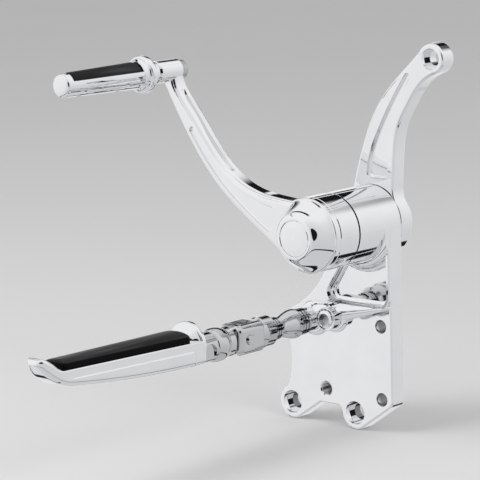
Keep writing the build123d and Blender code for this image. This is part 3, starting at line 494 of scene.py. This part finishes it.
def moulded_rubber(name, sides_top, crest, slant=0.0):
    """Black rubber. Where z + slant y is above sides_top, and at full strength above crest, it is
    painted lighter as a painted sheen, with lighter wear streaks running along its length."""
    rubber = Finish(name, {"Specular IOR Level": 0.05})
    streak = rubber.noise(grain=0.003, detail=4.0, stretch=(1.0, 0.07, 1.0)).step(0.35, 0.8)
    patch = rubber.noise(grain=0.02, detail=2.0, stretch=(1.0, 0.4, 1.0)).step(0.3, 0.7)
    height = rubber.axis("Z") + slant * rubber.axis("Y")
    # Painted sheen: everything above sides_top is lifted a quarter of the way to grey, and the
    # wear streaks add the rest.
    wear_and_sheen = height.step(sides_top, crest) * (0.25 + 0.75 * streak * patch)
    black, grey = (0.0025, 0.0025, 0.0028), (0.060, 0.062, 0.064)
    rubber.feed("Base Color", rubber.tint(wear_and_sheen, black, grey))
    rubber.feed("Roughness", 0.42 - 0.16 * streak)
    rubber.relief(streak, depth=0.00003)
    return rubber


def round_end(run, power):
    """From 0 at the pad's end to 1 further in than its run, as a superellipse of this power."""
    return (1.0 - (1.0 - within(run)) ** power) ** (1.0 / power)


def footpeg_pad():
    """Sections along the pad, each a superellipse standing on a flat base. Width and height fall
    to nothing over a few millimetres at each end, so the ends are rounded too."""
    ease = 0.5 - 0.5 * np.cos(np.linspace(0.0, pi, 120))
    out = (pad_start + (pad_end - pad_start) * ease)[:, None]
    share = out / tray_length
    from_start, from_end = out - pad_start, pad_end - out
    full = round_end(from_start / end_run, end_power) * round_end(from_end / end_run, end_power)
    tall = round_end(from_start / foot_run, 2.0) * round_end(from_end / foot_run, 2.0)
    half = (pad_half - pad_taper * share / climb_share) * full + point
    shoulder = rim_height(np.minimum(share, lip_share)) + pad_stand - stand_fall * share
    crown = crown_rise - crown_fall * share
    angle = np.linspace(0.0, pi, 41)
    x = half * np.sign(np.cos(angle)) * np.abs(np.cos(angle)) ** pad_swell
    lift = shoulder_round * np.sin(angle) ** pad_swell + crown * (1.0 - (x / half) ** 2)
    z = pad_base + (shoulder - shoulder_round - pad_base) * tall + lift * tall * full
    x = np.concatenate([half, x, -half], axis=1)
    z = np.concatenate([pad_base + 0.0 * half, z, pad_base + 0.0 * half], axis=1)
    y = -(tray_start + out) + 0.0 * x
    return np.stack([peg_axis[0] + x, y, peg_axis[1] + z], axis=-1)


slant = rim_climb / climb_share / tray_length
crest = peg_axis[1] + rim_rise + sheen_and_streak_rise - slant * tray_start
pad_rubber = moulded_rubber("footpeg_rubber", crest - sheen_and_streak_fade, crest, slant)
pad = grid_mesh("footpeg_pad", footpeg_pad(), sharp=45.0)
finish_piece(pad, pad_rubber, "footpeg")
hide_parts("footpeg_rubber")

# Shift shaft and keys: ground steel, lightly oiled. The shaft turns in the two bushings, and the
# keys lock the levers to its ends.
steel = Finish("ground_steel", {"Metallic": 1.0})
rings = steel.noise(grain=0.0003, detail=2.0, stretch=(0.02, 1.0, 0.02))
steel.feed("Base Color", steel.tint(rings, (0.50, 0.50, 0.51), (0.64, 0.64, 0.65)))
steel.feed("Roughness", 0.18 + 0.12 * rings)
dress(steel, "shift_shaft", "shaft_keys")

# Shift lever, hub cap and linkage lever: forgings, ground and plated, keyed to the shaft. The hub
# ends in a domed ring round the cap, with a rounded front edge. The dome rises as a power of a
# quarter sine wave from the edge up to the cap's seat.
lever_chrome = chrome("lever_chrome", wave=0.000004)
dress(lever_chrome, "shift_lever", "hub_cap", "linkage_lever")
pivot_axis = (0.031, 0.1164)
hub_r, hub_bore_r, hub_start, hub_edge = 0.0222, 0.020, 0.0605, 0.001
hub_rise, dome_power = 0.0113, 1.15
cap_seat_r, seat_wall_r, seat_depth = 0.0114, 0.0109, 0.006
edge_r, edge_out = far_edge(hub_r + skin, hub_start, hub_edge, hub_edge)
climb = np.linspace(0.0, 1.0, 40)[1:]
dome_r = edge_r[-1] + (cap_seat_r - edge_r[-1]) * climb
dome_out = hub_start + hub_rise * np.sin(climb * pi / 2.0) ** dome_power + skin
dome_r = np.concatenate([[hub_bore_r], edge_r, dome_r, [seat_wall_r, seat_wall_r]])
seat_out = [dome_out[-1], hub_start + seat_depth]
dome_out = np.concatenate([edge_out[:1], edge_out, dome_out, seat_out])
dome = spun("hub_dome", pivot_axis, dome_r, dome_out, steps=160)
finish_piece(dome, lever_chrome, "shift_levers")

# Toe peg and spacer: a small chromed casting, bolted through the spacer to the lever's eye. Its
# round flange has a full edge and a cove, a quarter ellipse, that runs down into the body, and its
# tip is a rounded button, a superellipse. Both have turned skins.
dress(lever_chrome, "toe_peg_spacer", "toe_peg")
toe_axis = (-0.074, 0.2071)
flange_out, flange_r, flange_t, body_r, flange_bore_r = 0.0807, 0.0112, 0.0046, 0.0081, 0.005
flange_skin, near_round = 0.00002, 0.0016
front_in, front_back = 0.00066, 0.00106
cove_in, cove_length, cove_lift, cove_share = 0.0024, 0.006, 0.0001, 0.74
cove_spare, spare_fall = 0.00014, 0.7
start_r, start_out = near_edge(flange_r + flange_skin, flange_out, near_round, near_round)
flange_front = flange_out + flange_t + skin
front_r, front_out = far_edge(flange_r + flange_skin, flange_front, front_in, front_back)
sweep = np.linspace(0.0, cove_share, 24)[1:]
cove_r = body_r + cove_in * (1.0 - np.sin(sweep * pi / 2.0))
cove_r = cove_r + cove_spare * (1.0 - spare_fall * sweep / cove_share)
cove_out = flange_out + flange_t + cove_lift + cove_length * (1.0 - np.cos(sweep * pi / 2.0))
flange_curve = np.concatenate([start_r, front_r, cove_r])
flange_along = np.concatenate([start_out, front_out, cove_out])
flange = spun("toe_peg_flange", toe_axis, *to_bore(flange_curve, flange_along, flange_bore_r))
nose_start, nose_r, nose_length, nose_power = 0.1485, 0.00716, 0.00348, 3.0
nose_bore_r, nose_foot = 0.004, 0.0010
fall = np.linspace(0.0, 1.0, 40)
nose_curve = nose_r * (1.0 - fall**nose_power) ** (1.0 / nose_power) + point
nose_curve = np.concatenate([[nose_bore_r, nose_r], nose_curve])
nose_out = nose_start + np.concatenate([[-nose_foot, -nose_foot], nose_length * fall])
nose = spun("toe_peg_nose", toe_axis, nose_curve, nose_out)
for piece in (flange, nose):
    finish_piece(piece, lever_chrome, "shift_levers")

# Toe peg rubber: the same satin rubber as a half-round inlay in the peg's top, held by two screws
# from below. Both heights lie below it, so its painted sheen and its streaks cover all of it.
toe_sides_top, toe_crest = 0.208, 0.209
dress(moulded_rubber("toe_rubber", toe_sides_top, toe_crest), "toe_peg_rubber")

# Studio: a pale floor, a soft white surround with the dark gaps between its panels, two large
# soft lamps, and the camera far away with a long lens.
floor_drop, reach = 0.0004, 8.0
floor_z = cad_box[0][2] - floor_drop
signs = ((-1, -1), (1, -1), (1, 1), (-1, 1))
corners = [(x * reach, y * reach, floor_z) for x, y in signs]
floor_mesh = bpy.data.meshes.new("studio_floor")
floor_mesh.from_pydata(corners, [], [(0, 1, 2, 3)])
floor = bpy.data.objects.new("studio_floor", floor_mesh)
scene.collection.objects.link(floor)
paper = Finish("studio_paper", {"Roughness": 0.9})
fibre = paper.noise(grain=0.4, detail=4.0)
paper.feed("Base Color", paper.tint(fibre, (0.80, 0.80, 0.80), (0.83, 0.83, 0.83)))
floor_mesh.materials.append(paper.material)
floor.visible_glossy = False


class Surround(Finish):
    """The world's shader, read by direction."""

    def __init__(self, tree):
        self.tree = tree
        self.shader = tree.nodes["Background"]
        self.place = self.node("ShaderNodeTexCoord", out="Generated")


world = bpy.data.worlds.new("studio")
world.use_nodes = True
scene.world = world
sky = Surround(world.node_tree)
rise = sky.axis("Z")


def towards(x, y, z):
    """The cosine of the angle between the direction looked in and a direction."""
    aim = Vector((x, y, z)).normalized()
    return sky.axis("X") * aim.x + sky.axis("Y") * aim.y + rise * aim.z


def seam(across, half_width):
    """1 within a narrow strip round across = 0, fading to 0 at its edges."""
    return 1.0 - (across * across).step(half_width**2 * 0.55, half_width**2)


# Metal sees dark seams and gaps: a tilted seam ahead, a seam below the horizon, a wide gap on the
# inboard side with a lit strip across it, and the gap that the camera looks through. The panels
# are greyer low down, to the rear and round the camera's gap.
side_seam = seam(towards(0.22, 0.95, 0.20), 0.045) * (1.0 - sky.axis("X").step(0.0, 0.15))
low_seam = seam(rise + 0.64, 0.03)
far_gap = rise.step(0.20, 0.27) * (1.0 - rise.step(0.58, 0.68))
far_gap = far_gap * towards(-0.45, 0.9, 0.1).step(0.55, 0.75)
far_gap = far_gap * (1.0 - 0.9 * seam(rise - 0.36, 0.03))
camera_side = towards(0.65, -0.74, 0.17)
dark = side_seam.most(low_seam).most(far_gap).most(camera_side.step(0.935, 0.945))
halo = camera_side.step(0.55, 0.93)
shade = (rise * 0.5 + 0.5 - 0.2 * sky.axis("X")).step(0.0, 0.75) * (1.0 - 0.6 * halo)
bright = sky.tint(shade, (0.66, 0.665, 0.675), (0.98, 0.98, 0.985))
panels = sky.tint(dark, bright, (0.01, 0.01, 0.012))

# The camera sees a plain grey backdrop. Diffuse light comes from an even, slightly darker grey.
rays = "ShaderNodeLightPath"
even = sky.tint(sky.node(rays, out="Is Camera Ray"), (0.52, 0.52, 0.52), (0.60, 0.60, 0.60))
sky.feed("Color", sky.tint(sky.node(rays, out="Is Glossy Ray"), even, panels))

lamp_target = Vector((0.0, -0.08, 0.1))
for name, place, size, power in (
    ("key_lamp", (-0.5, -1.1, 1.3), 0.9, 12.0),
    ("fill_lamp", (1.4, -0.4, 0.9), 0.8, 6.0),
):
    lamp = bpy.data.lights.new(name, "AREA")
    lamp.shape = "SQUARE"
    lamp.size = size
    lamp.energy = power
    holder = bpy.data.objects.new(name, lamp)
    holder.visible_glossy = False
    holder.location = place
    aim = lamp_target - Vector(place)
    holder.rotation_euler = aim.to_track_quat("-Z", "Y").to_euler()
    scene.collection.objects.link(holder)

camera_place = (0.90898, -1.10803, 0.3576)
toward_camera = Vector((0.65345, -0.73653, 0.17471))
sideways = Vector((0.74799, 0.66363, 0.0))
camera_roll = radians(-1.6)
upright = toward_camera.cross(sideways)
across = sideways * cos(camera_roll) + upright * sin(camera_roll)
above = toward_camera.cross(across)
lens = bpy.data.cameras.new("photo_view")
lens.sensor_width = 36.0
lens.lens = 180.0
lens.clip_end = 30.0
camera = bpy.data.objects.new("photo_view", lens)
basis = Matrix((across, above, toward_camera)).transposed().to_4x4()
camera.matrix_world = Matrix.Translation(camera_place) @ basis
scene.collection.objects.link(camera)
scene.camera = camera
scene.view_settings.view_transform = "Standard"
